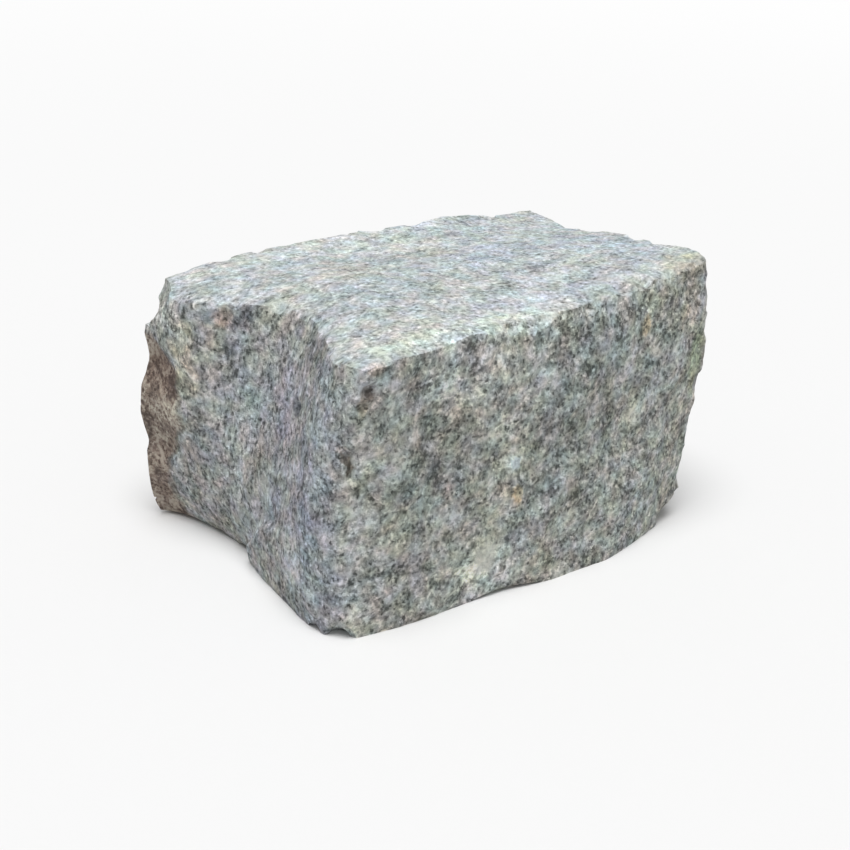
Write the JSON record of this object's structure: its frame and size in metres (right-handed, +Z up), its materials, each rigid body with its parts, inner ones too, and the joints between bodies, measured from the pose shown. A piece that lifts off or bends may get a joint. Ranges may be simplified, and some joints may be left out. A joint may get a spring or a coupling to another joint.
{
  "type": "gneiss paver",
  "caption": "Rough split block of grey gneiss with a flat bed face, for paving, edging or low walls.",
  "frame": {"origin": "middle of the flat bed face that the stone rests on", "axes": "+Z up, away from the bed face; +X along the long split face, towards the higher end; -Y out of the long front face"},
  "size_m": [0.2177, 0.1454, 0.1256],
  "materials": {
    "gneiss": "rough split gneiss, light and dark grains with a bluish grey cast, brown weathered skin at one end"
  },
  "bodies": {
    "root": {"gneiss_paver": "gneiss"}
  },
  "joints": []
}
